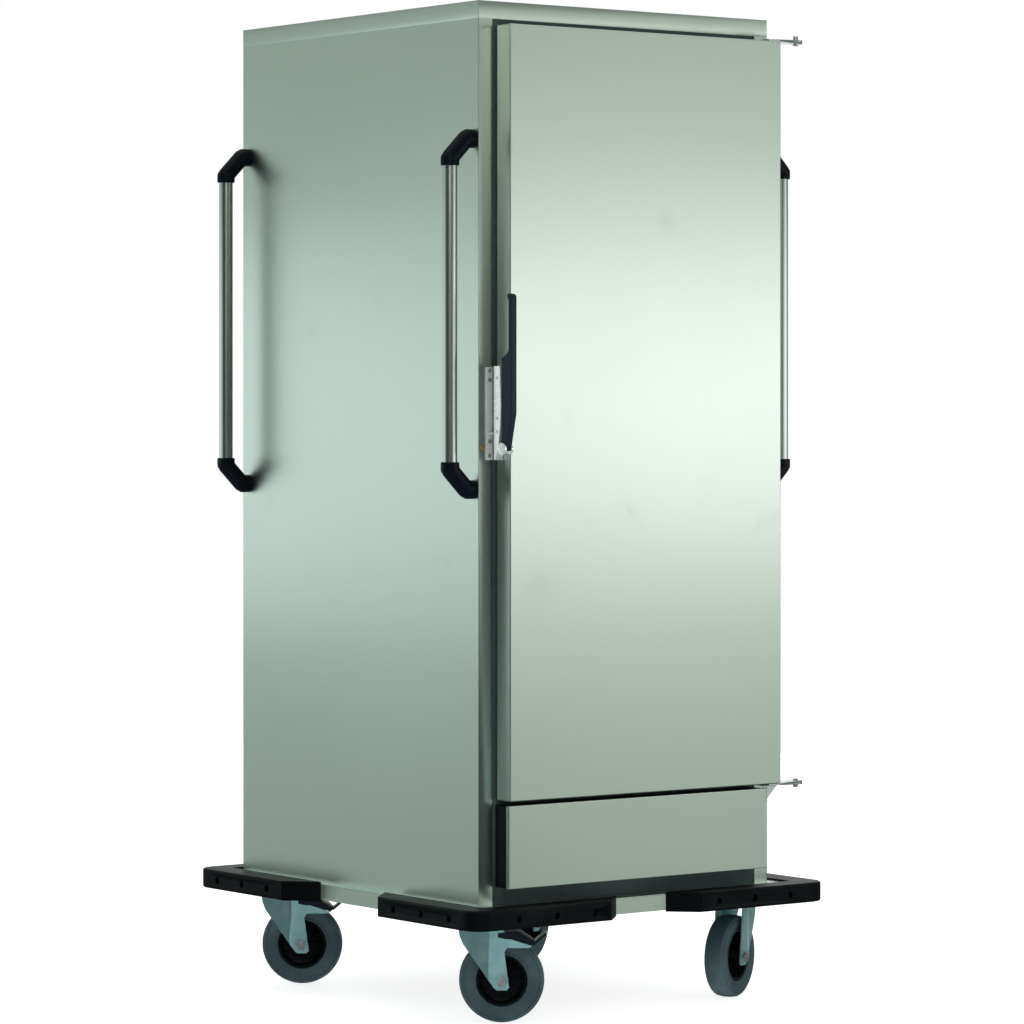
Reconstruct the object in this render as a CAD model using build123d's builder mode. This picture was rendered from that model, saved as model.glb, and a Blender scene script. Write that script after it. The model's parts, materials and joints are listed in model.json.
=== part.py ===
"""Insulated food carrier: a tall double-walled cabinet on castors, in millimetres, +Z up.

The origin lies on the floor under the middle of the base. The door faces -Y and its hinges are at +X.
"""
import os
from math import cos, radians, sin

from build123d import *

os.makedirs("parts", exist_ok=True)

# ---- cabinet -----------------------------------------------------------------------------
body_width = 700.0
body_depth = 800.0
body_top = 1907.0
body_shift = 20.0  # the cabinet stands this far behind the middle of the base
cap_rim = 33.0
cap_return = 14.0
skin = 1.2  # outer sheet
liner = 1.0  # inner sheet
side_wall = 62.0  # outer face to inner face
rear_wall = 62.0
roof_wall = 65.0
floor_wall = 40.0
front_flange = 32.0  # front return of the side panels
rear_flange = 25.0
frame_seam = 1.0  # between the side panels' flanges and the door frame
frame_thick = 8.0
joint_gap = 0.2  # between butted members of one frame or casing

# ---- castors and base --------------------------------------------------------------------
castor_high = 195.0
castor_trail = 45.0
castor_inset_x = 54.0  # swivel axis from the base's edges
castor_inset_y = 91.0
wheel_r = 80.0
tyre_width = 40.0
tyre_shoulder = 7.0
tyre_seat_r = 48.0
hub_rim = 5.0
hub_web = 10.0
hub_boss_r = 15.0
axle_r = 6.0
axle_head = 7.0
plate_x = 100.0
plate_y = 135.0
plate_thick = 4.0
plate_hole_x = 74.0
plate_hole_y = 105.0
plate_bolt_r = 5.0
fork_clear = 27.0  # half the clear width between the cheeks
fork_sheet = 3.0
crown_drop = 17.0  # top of the fork's crown below the top of the plate
race_r = 37.0
race_cup = 4.0
kingpin_r = 7.0
kingpin_head_r = 12.0
pedal_width = 50.0
pedal_cheek = 3.5
pedal_pivot_u = 48.0  # along the trail from the swivel axis
pedal_pivot_drop = 10.0  # below the crown's top
pedal_pin_r = 3.0
pad_high = 25.0
pad_wall = 3.0
deck_thick = 2.0
ledge_x = 22.0  # base beyond the cabinet's sides
ledge_y = 25.0
rail_sheet = 2.0
rail_lip = 20.0
bumper_thick_x = 56.0
bumper_thick_y = 50.0
bumper_tall = 38.0
bumper_drop = 7.0  # bumper below the top of the castor plates
bumper_corner = 40.0
bumper_edge = 4.0
bumper_gap_x = 110.0  # half the gap between the front arms' ends
bumper_gap_y = 165.0
bumper_first_x = 150.0
bumper_first_y = 216.0
bumper_pitch = 89.0
bumper_screw_r = 3.0
bumper_head_r = 5.0
bumper_head = 4.0
bumper_bore_r = 7.0
bumper_bore = 9.0

# ---- clearances --------------------------------------------------------------------------
run_gap = 0.05  # radial, of a pin that turns in its hole
soft_gap = 0.3  # between pieces that move past each other
screw_gap = 0.3

# ---- door and hinges ---------------------------------------------------------------------
door_inset_left = 36.5
door_inset_right = 6.5
door_below_top = 45.0
door_thick = 40.0
door_stand = 10.0  # gap to the cabinet's front, filled by the gasket
gasket_margin = 3.0  # gasket from the edge of the opening
gasket_width = 14.0
hinge_out = 64.0  # hinge axis from the cabinet's side
hinge_behind = 1.0  # hinge axis behind the door's back
hinge_pin_r = 5.0
hinge_eye_r = 13.5
arm_thick = 3.5
arm_root = 28.0  # how far an arm runs onto the door
bracket_thick = 4.0
bracket_foot = 36.0
foot_thick = 3.0
gusset = 26.0

# ---- drawer ------------------------------------------------------------------------------
drawer_lift = 33.0  # front panel above the deck
drawer_height = 155.0
drawer_inset = 37.5
drawer_stand = 45.0
drawer_return = 9.0
drawer_clear = 1.0
tray_inset = 20.0  # tray from the cabinet's liner
tray_length = 640.0
tray_depth = 108.0
tray_lift = 10.0
tray_flange = 14.0
slide_rail = 17.0
slide_rail_thick = 3.7
door_gap = 8.0  # drawer front to door
sill_under = 10.0  # sill below the drawer front's top
sill_over = 28.0  # sill above the door's bottom

# ---- latch -------------------------------------------------------------------------------
keeper_inset = 23.5
keeper_width = 15.0
keeper_thick = 3.0
keeper_low = 1052.0
keeper_high = 1225.0
keeper_screw_r = 2.0
keeper_head_r = 4.0
prong_low = 1100.0
prong_thick = 3.0
prong_reach = 28.0
prong_width = 2.5
prong_between = 7.0  # the bolt's nose stands between the two prongs
housing_width = 18.0
housing_set = 5.0  # housing behind the door's front
housing_deep = 23.0
housing_high = 1227.0
housing_bulge = 1150.0
slot_width = 14.0
slot_deep = 11.0
slot_low = 1082.0
slot_high = 1182.0
bolt_nose = 5.0
bolt_low = 1090.0
bolt_shoulder = 1115.0
bolt_high = 1150.0
lever_width = 13.0
lever_gap = 4.5  # lever from the door's edge
lever_stand = 27.0  # lever in front of the door
lever_deep = 31.0
lever_grip = 10.0
lever_top = 1361.0
lever_crook = 1236.0  # underside of the finger gap
lever_boss_r = 9.0
pivot_stand = 1.5
pivot_z = 1073.0
pivot_r = 4.0
pivot_head_r = 11.5
pivot_head = 4.0
barrel_inset = 6.5
barrel_z = 1075.0
barrel_r = 4.5

# ---- racks and handles -------------------------------------------------------------------
post_deep = 12.0
post_wide = 25.0
post_sheet = 1.5
post_half_y = 250.0
post_short = 32.0  # posts end this far below the roof
runner_lift = 55.0  # lowest runner above the cavity floor
runner_pitch = 115.0
runner_leg = 26.0
runner_drop = 18.0
runner_sheet = 1.5
runner_length = 660.0
floor_slots = 7
slot_long = 420.0
slot_wide = 14.0
floor_skirt = 20.0
handle_out = 52.0  # tube axis from the side panel
handle_in = 18.0  # tube axis from the cabinet's front and rear
handle_tube_r = 13.5
handle_tube_wall = 1.5
handle_socket_r = 17.5
handle_low = 997.0  # axis of the lower foot
handle_below_top = 257.0
handle_reach = 51.5  # socket's mouth from the foot's axis
handle_bend = 37.0  # each leg of the elbow's 45 degree run
handle_insert = 16.0
handle_bolt_r = 4.0
handle_bolt_in = 18.0
handle_head_r = 9.0
handle_head = 5.0

# ---- worked out --------------------------------------------------------------------------
side_x = body_width / 2
front_y = body_shift - body_depth / 2
rear_y = body_shift + body_depth / 2
cap_low = body_top - cap_rim
base_x = side_x + ledge_x
base_y = body_depth / 2 + ledge_y
bumper_x = base_x + bumper_thick_x
bumper_y = base_y + bumper_thick_y
deck_low = castor_high + pad_high
deck_top = deck_low + deck_thick
rail_low = castor_high - plate_thick
bumper_low = castor_high - bumper_drop
bumper_high = bumper_low + bumper_tall
cavity_x = side_x - side_wall
cavity_rear = rear_y - rear_wall
cavity_top = body_top - roof_wall
cavity_low = deck_top + floor_wall
frame_x = side_x - front_flange - frame_seam
frame_back = front_y + frame_thick
frame_top = cap_low - frame_seam
drawer_low = deck_top + drawer_lift
drawer_high = drawer_low + drawer_height
drawer_x = side_x - drawer_inset
drawer_y = front_y - drawer_stand
door_left = -side_x + door_inset_left
door_right = side_x - door_inset_right
door_low = drawer_high + door_gap
door_high = body_top - door_below_top
door_back = front_y - door_stand
door_front = door_back - door_thick
sill_low = drawer_high - sill_under
sill_high = door_low + sill_over
hinge_x = side_x + hinge_out
hinge_y = door_back - hinge_behind
keeper_x = -side_x + keeper_inset
barrel_x = -side_x + barrel_inset
housing_x = door_left - housing_width / 2
housing_front = door_front + housing_set
housing_back = housing_front + housing_deep
lever_x = door_left - lever_gap
lever_y = door_front - lever_stand
pivot_y = door_front - pivot_stand
post_x = cavity_x - post_deep
floor_z = sill_high - liner
runner_first = floor_z + runner_lift
runner_count = int((cavity_top - post_short - runner_first) // runner_pitch) + 1
handle_x = side_x + handle_out
handle_high = body_top - handle_below_top
handle_rows = (front_y + handle_in, rear_y - handle_in)
castor_x = base_x - castor_inset_x
castor_y = base_y - castor_inset_y
crown_top = castor_high - crown_drop
keeper_screws = (keeper_low + 8, keeper_low + 35, keeper_high - 24, keeper_high - 7)

# where each castor stands, the heading its wheel trails to, and whether it has a brake
castors = {
    "front_left": (-castor_x, -castor_y, -36.7, True),
    "rear_left": (-castor_x, castor_y, -36.7, True),
    "front_right": (castor_x, -castor_y, 205.3, False),
    "rear_right": (castor_x, castor_y, 205.3, False),
}


def slab(x, y, z, mode=Mode.ADD):
    """A box between two corners, each side given as (low, high)."""
    middle = ((x[0] + x[1]) / 2, (y[0] + y[1]) / 2, (z[0] + z[1]) / 2)
    with Locations(middle):
        Box(x[1] - x[0], y[1] - y[0], z[1] - z[0], mode=mode)


def bar(start, direction, radius, length, mode=Mode.ADD):
    """A round bar or bore from a point along a direction."""
    with Locations(Plane(origin=start, z_dir=direction)):
        Cylinder(radius, length, align=(Align.CENTER, Align.CENTER, Align.MIN), mode=mode)


def hexagon(start, direction, across, length):
    """A hexagonal head or nut from a point along a direction."""
    with BuildSketch(Plane(origin=start, z_dir=direction)) as shape:
        RegularPolygon(across / 2, 6, major_radius=False)
    extrude(shape.sketch, amount=length)


def outline(plane, points, amount, mode=Mode.ADD):
    """A closed outline on a plane, extruded."""
    with BuildSketch(plane) as shape:
        with BuildLine():
            Polyline(*points, close=True)
        make_face()
    extrude(shape.sketch, amount=amount, mode=mode)


def write(builder, name):
    """Labels a finished piece and writes it under that name."""
    builder.part.label = name
    export_step(builder.part, f"parts/{name}.step")


def flip(side, low, high):
    """The span low..high on the right side, or its mirror image on the left."""
    return (low, high) if side > 0 else (-high, -low)


def foot_places(side):
    """Where the handles' feet meet a side panel."""
    return [(side * side_x, y, z) for y in handle_rows for z in (handle_low, handle_high)]


# ---- outer casing ------------------------------------------------------------------------
for side, word in ((-1, "left"), (1, "right")):
    with BuildPart() as side_panel:
        tall = (deck_top, cap_low)
        slab(flip(side, side_x - skin, side_x), (front_y, rear_y), tall)
        slab(flip(side, side_x - front_flange, side_x), (front_y, front_y + skin), tall)
        slab(flip(side, side_x - rear_flange, side_x), (rear_y - skin, rear_y), tall)
        for start in foot_places(side):
            bar(start, (-side, 0, 0), handle_bolt_r, skin, Mode.SUBTRACT)
        if side < 0:
            for z in keeper_screws:
                bar((keeper_x, front_y, z), (0, 1, 0), keeper_screw_r, skin, Mode.SUBTRACT)
            bar((barrel_x, front_y, barrel_z), (0, 1, 0), barrel_r, skin, Mode.SUBTRACT)
    write(side_panel, f"side_panel_{word}")

with BuildPart() as rear_panel:
    half = side_x - rear_flange - joint_gap
    slab((-half, half), (rear_y - skin, rear_y), (deck_top, cap_low))
write(rear_panel, "rear_panel")

with BuildPart() as top_cap:
    slab((-side_x, side_x), (front_y, rear_y), (cap_low, body_top))
    fillet(top_cap.edges().filter_by(Axis.Z), skin)
    in_x = side_x - skin
    slab((-in_x, in_x), (front_y + skin, rear_y - skin), (cap_low + skin, body_top - skin), Mode.SUBTRACT)
    in_x = side_x - cap_return
    in_y = (front_y + cap_return, rear_y - cap_return)
    slab((-in_x, in_x), in_y, (cap_low, cap_low + skin), Mode.SUBTRACT)
write(top_cap, "top_cap")

# the door frame's two stiles, head, sill and foot are separate mitre-free lengths
with BuildPart() as door_frame:
    for side in (-1, 1):
        slab(flip(side, cavity_x, frame_x), (front_y, frame_back), (deck_top, frame_top))
    across = (-cavity_x + joint_gap, cavity_x - joint_gap)
    for low, high in ((deck_top, cavity_low), (sill_low, sill_high), (cavity_top, frame_top)):
        slab(across, (front_y, frame_back), (low, high))
write(door_frame, "door_frame")

# ---- inner casing ------------------------------------------------------------------------
with BuildPart() as liner_sides:
    deep = (frame_back, cavity_rear + liner)
    for side in (-1, 1):
        slab(flip(side, cavity_x, cavity_x + liner), deep, (cavity_low - liner, cavity_top + liner))
write(liner_sides, "liner_sides")

# roof, back and floor of the lining are three separate sheets
with BuildPart() as liner_wrap:
    across = (-cavity_x, cavity_x)
    deep = (frame_back, cavity_rear - joint_gap)
    slab(across, deep, (cavity_top, cavity_top + liner))
    slab(across, deep, (cavity_low - liner, cavity_low))
    slab(across, (cavity_rear, cavity_rear + liner), (cavity_low - liner, cavity_top + liner))
write(liner_wrap, "liner_wrap")

with BuildPart() as insulation:
    foam_x = cavity_x + liner
    core = (-foam_x, foam_x)
    behind = cavity_rear + liner
    for side in (-1, 1):
        slab(flip(side, foam_x, side_x - skin), (frame_back, rear_y - skin), (deck_top, cap_low))
        for start in foot_places(side):
            bar(start, (-side, 0, 0), handle_head_r + screw_gap, handle_head + skin, Mode.SUBTRACT)
    slab(core, (behind, rear_y - skin), (deck_top, cap_low))
    slab(core, (frame_back, behind), (cavity_top + liner, cap_low))
    slab(core, (frame_back, behind), (deck_top, cavity_low - liner))
    in_x = side_x - cap_return
    slab((-in_x, in_x), (front_y + cap_return, rear_y - cap_return), (cap_low, cap_low + skin))
    in_x = side_x - skin
    slab((-in_x, in_x), (front_y + skin, rear_y - skin), (cap_low + skin, body_top - skin))
write(insulation, "insulation")

with BuildPart() as cavity_floor:
    deep = (frame_back, cavity_rear)
    slab((-cavity_x, cavity_x), deep, (floor_z - runner_sheet, floor_z))
    for side in (-1, 1):
        slab(flip(side, cavity_x - runner_sheet, cavity_x), deep, (floor_z - floor_skirt, floor_z))
    slot_step = (cavity_rear - frame_back) / (floor_slots + 1)
    with BuildSketch(Plane.XY.offset(floor_z - floor_skirt)):
        with Locations(*[(0, frame_back + slot_step * (k + 1)) for k in range(floor_slots)]):
            SlotOverall(slot_long, slot_wide)
    extrude(amount=2 * floor_skirt, mode=Mode.SUBTRACT)
write(cavity_floor, "cavity_floor")

with BuildPart() as rack_posts:
    for side in (-1, 1):
        for y in (-post_half_y, post_half_y):
            wide = (y - post_wide / 2, y + post_wide / 2)
            slab(flip(side, post_x, cavity_x), wide, (floor_z, cavity_top - post_short))
            wide = (wide[0] + post_sheet, wide[1] - post_sheet)
            deep = flip(side, post_x + post_sheet, cavity_x - post_sheet)
            slab(deep, wide, (floor_z, cavity_top - post_short), Mode.SUBTRACT)
write(rack_posts, "rack_posts")

with BuildPart() as tray_runners:
    along = (-runner_length / 2, runner_length / 2)
    for side in (-1, 1):
        for level in range(runner_count):
            top = runner_first + runner_pitch * level
            slab(flip(side, post_x - runner_leg, post_x), along, (top - runner_sheet, top))
            slab(flip(side, post_x - runner_sheet, post_x), along, (top - runner_drop, top))
write(tray_runners, "tray_runners")

# ---- base --------------------------------------------------------------------------------
bumper_screw_z = (rail_low + deck_top) / 2


def bumper_screws(sx, sy):
    """Start on the bumper's outer face, inward direction and bumper thickness of its six screws."""
    for k in range(3):
        along = bumper_pitch * k
        yield (sx * (bumper_first_x + along), sy * bumper_y, bumper_screw_z), (0, -sy, 0), bumper_thick_y
        yield (sx * bumper_x, sy * (bumper_first_y + along), bumper_screw_z), (-sx, 0, 0), bumper_thick_x


def moved(start, direction, distance):
    """A point shifted along a direction."""
    return tuple(s + d * distance for s, d in zip(start, direction))


corners = {
    "front_left": (-1, -1),
    "front_right": (1, -1),
    "rear_left": (-1, 1),
    "rear_right": (1, 1),
}

with BuildPart() as base_deck:
    slab((-base_x, base_x), (-base_y, base_y), (deck_low, deck_top))
write(base_deck, "base_deck")

# front and rear rails are angles, the side rails between them are flat skirts
with BuildPart() as base_rails:
    across = (-base_x, base_x)
    for side in (-1, 1):
        slab(across, flip(side, base_y - rail_sheet, base_y), (rail_low, deck_low))
        slab(across, flip(side, base_y - rail_lip, base_y), (rail_low, rail_low + rail_sheet))
        half = base_y - rail_lip - joint_gap
        slab(flip(side, base_x - rail_sheet, base_x), (-half, half), (rail_low, deck_low))
    for sx, sy in corners.values():
        for start, inward, thick in bumper_screws(sx, sy):
            inner = moved(start, inward, thick)
            bar(inner, inward, bumper_screw_r + screw_gap, rail_sheet, Mode.SUBTRACT)
write(base_rails, "base_rails")

plate_holes = [(sx * plate_hole_x / 2, sy * plate_hole_y / 2) for sx in (-1, 1) for sy in (-1, 1)]

with BuildPart() as castor_pads:
    for x, y, _, _ in castors.values():
        along = (y - plate_y / 2, y + plate_y / 2)
        half = plate_x / 2
        slab((x - half, x + half), along, (castor_high, deck_low))
        half = plate_x / 2 - pad_wall
        slab((x - half, x + half), along, (castor_high + pad_wall, deck_low - pad_wall), Mode.SUBTRACT)
        for dx, dy in plate_holes:
            bar((x + dx, y + dy, castor_high), (0, 0, 1), plate_bolt_r + screw_gap, pad_wall, Mode.SUBTRACT)
write(castor_pads, "castor_pads")

for word, (sx, sy) in corners.items():
    with BuildPart() as bumper:
        bend = bumper_corner * (1 - cos(radians(45)))
        with BuildSketch(Plane.XY.offset(bumper_low)):
            with BuildLine():
                a = (sx * (bumper_x - bumper_corner), sy * bumper_y)
                b = (sx * (bumper_x - bend), sy * (bumper_y - bend))
                c = (sx * bumper_x, sy * (bumper_y - bumper_corner))
                ThreePointArc(a, b, c)
                Polyline(
                    c,
                    (sx * bumper_x, sy * bumper_gap_y),
                    (sx * base_x, sy * (bumper_gap_y - bumper_thick_x)),
                    (sx * base_x, sy * base_y),
                    (sx * (bumper_gap_x - bumper_thick_y), sy * base_y),
                    (sx * bumper_gap_x, sy * bumper_y),
                    a,
                )
            make_face()
        extrude(amount=bumper_high - bumper_low)
        flat_edges = bumper.edges().filter_by(Plane.XY)
        reach_x = bumper_x - bumper_corner / 2
        reach_y = bumper_y - bumper_corner / 2
        outer = flat_edges.filter_by(lambda e: abs(e.center().X) > reach_x or abs(e.center().Y) > reach_y)
        fillet(outer, bumper_edge)
        for start, inward, thick in bumper_screws(sx, sy):
            bar(start, inward, bumper_bore_r, bumper_bore, Mode.SUBTRACT)
            bar(start, inward, bumper_screw_r + screw_gap, thick, Mode.SUBTRACT)
    write(bumper, f"bumper_{word}")

with BuildPart() as bumper_screw_set:
    for sx, sy in corners.values():
        for start, inward, thick in bumper_screws(sx, sy):
            bar(moved(start, inward, bumper_bore - bumper_head), inward, bumper_head_r, bumper_head)
            length = thick - bumper_bore + 1.5 * rail_sheet
            bar(moved(start, inward, bumper_bore), inward, bumper_screw_r, length)
write(bumper_screw_set, "bumper_screws")

# ---- castors -----------------------------------------------------------------------------
crown_low = crown_top - fork_sheet
cup_low = castor_high - plate_thick - race_cup

with BuildPart() as castor_plates:
    for x, y, _, _ in castors.values():
        half_x, half_y = plate_x / 2, plate_y / 2
        slab((x - half_x, x + half_x), (y - half_y, y + half_y), (castor_high - plate_thick, castor_high))
        bar((x, y, cup_low), (0, 0, 1), race_r + 1, race_cup)
        bar((x, y, crown_low - soft_gap), (0, 0, 1), kingpin_r, cup_low - crown_low + soft_gap)
        bar((x, y, crown_low - soft_gap), (0, 0, -1), kingpin_head_r, fork_sheet + 2)
        for dx, dy in plate_holes:
            hole = (x + dx, y + dy, castor_high)
            bar(hole, (0, 0, -1), plate_bolt_r + screw_gap, plate_thick, Mode.SUBTRACT)
write(castor_plates, "castor_plates")

bolt_head = 1.4 * plate_bolt_r
bolt_across = 3.2 * plate_bolt_r
with BuildPart() as castor_bolts:
    for x, y, _, _ in castors.values():
        for dx, dy in plate_holes:
            hexagon((x + dx, y + dy, castor_high - plate_thick), (0, 0, -1), bolt_across, bolt_head)
            shank = plate_thick + pad_wall + bolt_head + 2
            bar((x + dx, y + dy, castor_high - plate_thick), (0, 0, 1), plate_bolt_r, shank)
            hexagon((x + dx, y + dy, castor_high + pad_wall), (0, 0, 1), bolt_across, bolt_head)
write(castor_bolts, "castor_bolts")

outer_cheek = fork_clear + fork_sheet
pedal_z = crown_top - pedal_pivot_drop


def fork_outline(brake):
    """A fork cheek in its own plane: along the trail, and height."""
    trail, axle, top = castor_trail, wheel_r, crown_top
    front = [(-36, top), (-34, top - 14), (-28, top - 29), (trail - 15, axle - 12)]
    foot = [(trail - 9, axle - 17), (trail + 9, axle - 17), (trail + 14, axle - 12), (trail + 5, top - 44)]
    arm = [(trail + 2, top - 12)]
    if brake:
        wing = [(trail + 10, top - 36), (trail + 52, top - 36), (trail + 56, top - 32)]
        arm = wing + [(trail + 16, top - 12)]
    return front + foot + arm + [(trail, top)]


for word, (x, y, heading, brake) in castors.items():
    along = (cos(radians(heading)), sin(radians(heading)), 0)
    across = (along[1], -along[0], 0)
    swivel = (x, y, 0)
    middle = Plane(origin=swivel, x_dir=along, z_dir=across)
    level = Plane(origin=swivel, x_dir=along, z_dir=(0, 0, 1))
    wheel = moved((x, y, wheel_r), along, castor_trail)

    with BuildPart() as fork:
        for near in (fork_clear, -outer_cheek):
            outline(middle.offset(near), fork_outline(brake), fork_sheet)
        near_side, far_side = -outer_cheek, outer_cheek
        crown = [(-36, near_side), (castor_trail, near_side), (castor_trail, far_side), (-36, far_side)]
        outline(level.offset(crown_low), crown, fork_sheet)
        bar((x, y, crown_low), (0, 0, 1), race_r, cup_low - crown_low - soft_gap)
        bar((x, y, crown_low), (0, 0, 1), kingpin_r + run_gap, 2 * crown_drop, Mode.SUBTRACT)
        bar(moved(wheel, across, -outer_cheek), across, axle_r + run_gap, 2 * outer_cheek, Mode.SUBTRACT)
        if brake:
            turn = moved((x, y, pedal_z), along, pedal_pivot_u)
            hole = moved(turn, across, -outer_cheek)
            bar(hole, across, pedal_pin_r + run_gap, 2 * outer_cheek, Mode.SUBTRACT)
    write(fork, f"castor_fork_{word}")

    with BuildPart() as axle:
        head_start = moved(wheel, across, outer_cheek)
        hexagon(head_start, across, 3.1 * axle_r, axle_head)
        shank = 2 * outer_cheek + axle_head + 2
        bar(moved(head_start, across, -shank), across, axle_r, shank)
        hexagon(moved(wheel, across, -outer_cheek), moved((0, 0, 0), across, -1), 3.1 * axle_r, axle_head)
    write(axle, f"castor_axle_{word}")

    with BuildPart() as tyre:
        bar(moved(wheel, across, -tyre_width / 2), across, wheel_r, tyre_width)
        fillet(tyre.edges(), tyre_shoulder)
        bar(moved(wheel, across, -tyre_width / 2), across, tyre_seat_r, tyre_width, Mode.SUBTRACT)
    write(tyre, f"castor_tyre_{word}")

    with BuildPart() as hub:
        rim_half = tyre_width / 2 - 2
        bar(moved(wheel, across, -rim_half), across, tyre_seat_r, 2 * rim_half)
        for way in (-1, 1):
            face = moved(wheel, across, way * hub_web / 2)
            outward = moved((0, 0, 0), across, way)
            bar(face, outward, tyre_seat_r - hub_rim, rim_half, Mode.SUBTRACT)
            bar(face, outward, hub_boss_r, fork_clear - soft_gap - hub_web / 2)
        reach = fork_clear
        bar(moved(wheel, across, -reach), across, axle_r + run_gap, 2 * reach, Mode.SUBTRACT)
    write(hub, f"castor_hub_{word}")

    if brake:
        half = pedal_width / 2
        tread = [(42, pedal_z + 4), (76, pedal_z + 4.5), (106, pedal_z - 16), (127, pedal_z + 1.5)]
        under = [(129.5, pedal_z - 1.5), (107, pedal_z - 20.5), (75, pedal_z), (42, pedal_z)]
        cheek = [(76, pedal_z + 4.5), (106, pedal_z - 16), (103, pedal_z - 23.5), (70, pedal_z - 8)]
        with BuildPart() as pedal:
            outline(middle.offset(-half), tread + under, pedal_width)
            for near in (-half, half - pedal_cheek):
                side_shape = [(42, pedal_z + 4)] + cheek + [(42, pedal_z - 5)]
                outline(middle.offset(near), side_shape, pedal_cheek)
            bar(moved(turn, across, -outer_cheek), across, pedal_pin_r, 2 * outer_cheek)
        write(pedal, f"brake_pedal_{word}")

# ---- drawer ------------------------------------------------------------------------------
with BuildPart() as drawer_front:
    deep = (drawer_y, drawer_y + drawer_return)
    slab((-drawer_x, drawer_x), deep, (drawer_low, drawer_high))
    in_x = drawer_x - skin
    inside_z = (drawer_low + skin, drawer_high - skin)
    slab((-in_x, in_x), (drawer_y + skin, drawer_y + drawer_return), inside_z, Mode.SUBTRACT)
write(drawer_front, "drawer_front")

with BuildPart() as drawer_core:
    in_x = drawer_x - skin
    slab((-in_x, in_x), (drawer_y + skin, front_y - drawer_clear), inside_z)
write(drawer_core, "drawer_core")

tray_x = cavity_x - tray_inset
tray_low = cavity_low + tray_lift
tray_high = tray_low + tray_depth
tray_rear = front_y - drawer_clear + tray_length
with BuildPart() as drawer_tray:
    deep = (front_y - drawer_clear, tray_rear)
    slab((-tray_x, tray_x), deep, (tray_low, tray_high))
    for side in (-1, 1):
        wide = flip(side, tray_x, tray_x + tray_flange)
        slab(wide, (frame_back + drawer_clear, tray_rear), (tray_high - skin, tray_high))
    wide = (-tray_x + skin, tray_x - skin)
    slab(wide, (deep[0] + skin, deep[1] - skin), (tray_low + skin, tray_high), Mode.SUBTRACT)
write(drawer_tray, "drawer_tray")

with BuildPart() as drawer_slides:
    top = tray_high - skin - soft_gap
    for side in (-1, 1):
        along = (frame_back + drawer_clear, cavity_rear - tray_inset)
        slab(flip(side, cavity_x - slide_rail, cavity_x), along, (top - slide_rail_thick, top))
write(drawer_slides, "drawer_slides")

# ---- door --------------------------------------------------------------------------------
door_x = (door_left, door_right)
inside_x = (door_left + skin, door_right - skin)
inside_z = (door_low + skin, door_high - skin)
with BuildPart() as door_skin:
    slab(door_x, (door_front, door_back - skin), (door_low, door_high))
    slab(inside_x, (door_front + skin, door_back - skin), inside_z, Mode.SUBTRACT)
write(door_skin, "door_skin")

with BuildPart() as door_liner:
    slab(door_x, (door_back - skin, door_back), (door_low, door_high))
write(door_liner, "door_liner")

with BuildPart() as door_foam:
    slab(inside_x, (door_front + skin, door_back - skin), inside_z)
write(door_foam, "door_foam")

with BuildPart() as door_gasket:
    squash = (door_back, front_y - soft_gap)
    half = cavity_x + gasket_margin
    low, high = sill_high - gasket_margin, cavity_top + gasket_margin
    slab((-half - gasket_width, half + gasket_width), squash, (low - gasket_width, high + gasket_width))
    slab((-half, half), squash, (low, high), Mode.SUBTRACT)
write(door_gasket, "door_gasket")

# each arm is bolted flat on the door's top or bottom and turns on a pin held by a bracket
arm_spans = ((door_high, door_high + arm_thick), (door_low - arm_thick, door_low))
bracket_spans = (
    (arm_spans[0][1] + soft_gap, arm_spans[0][1] + soft_gap + bracket_thick),
    (arm_spans[1][0] - soft_gap - bracket_thick, arm_spans[1][0] - soft_gap),
)
with BuildPart() as hinge_arms:
    root_x = door_right - arm_root
    for low, high in arm_spans:
        with BuildSketch(Plane.XY.offset(low)):
            with Locations((root_x + arm_root / 2, (door_front + door_back) / 2)):
                Rectangle(arm_root, door_thick - 2 * arm_thick)
            with Locations((hinge_x, hinge_y)):
                Circle(hinge_eye_r)
            make_hull()
            with Locations((hinge_x, hinge_y)):
                Circle(hinge_pin_r + run_gap, mode=Mode.SUBTRACT)
        extrude(amount=high - low)
write(hinge_arms, "hinge_arms")

foot_y = (front_y + 2, front_y + 2 + bracket_foot)
with BuildPart() as hinge_brackets:
    for low, high in bracket_spans:
        with BuildSketch(Plane.XY.offset(low)):
            with Locations((hinge_x, hinge_y)):
                Circle(hinge_eye_r)
            with Locations((side_x - front_flange / 4, front_y - 4)):
                Rectangle(front_flange / 2, 8)
            with Locations((side_x + foot_thick / 2, sum(foot_y) / 2)):
                Rectangle(foot_thick, bracket_foot)
            make_hull()
            with Locations((0, rear_y)):
                Rectangle(body_width, 2 * body_depth, mode=Mode.SUBTRACT)
            with Locations((hinge_x, hinge_y)):
                Circle(hinge_pin_r, mode=Mode.SUBTRACT)
        extrude(amount=high - low)
        slab((side_x, side_x + foot_thick), foot_y, (high - bracket_foot, high))
    low = bracket_spans[1][0]
    web = Plane(origin=(side_x + foot_thick, foot_y[0] + foot_thick, low), x_dir=(1, 0, 0), z_dir=(0, -1, 0))
    outline(web, [(0, 0), (gusset, 0), (0, -gusset)], foot_thick)
write(hinge_brackets, "hinge_brackets")

with BuildPart() as hinge_pins:
    for (low_a, high_a), (low_b, high_b), way in zip(arm_spans, bracket_spans, (1, -1)):
        low, high = min(low_a, low_b), max(high_a, high_b)
        start = low - 3 if way > 0 else low - 6
        bar((hinge_x, hinge_y, start), (0, 0, 1), hinge_pin_r, high - low + 9 + 2 * (way > 0))
write(hinge_pins, "hinge_pins")

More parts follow.
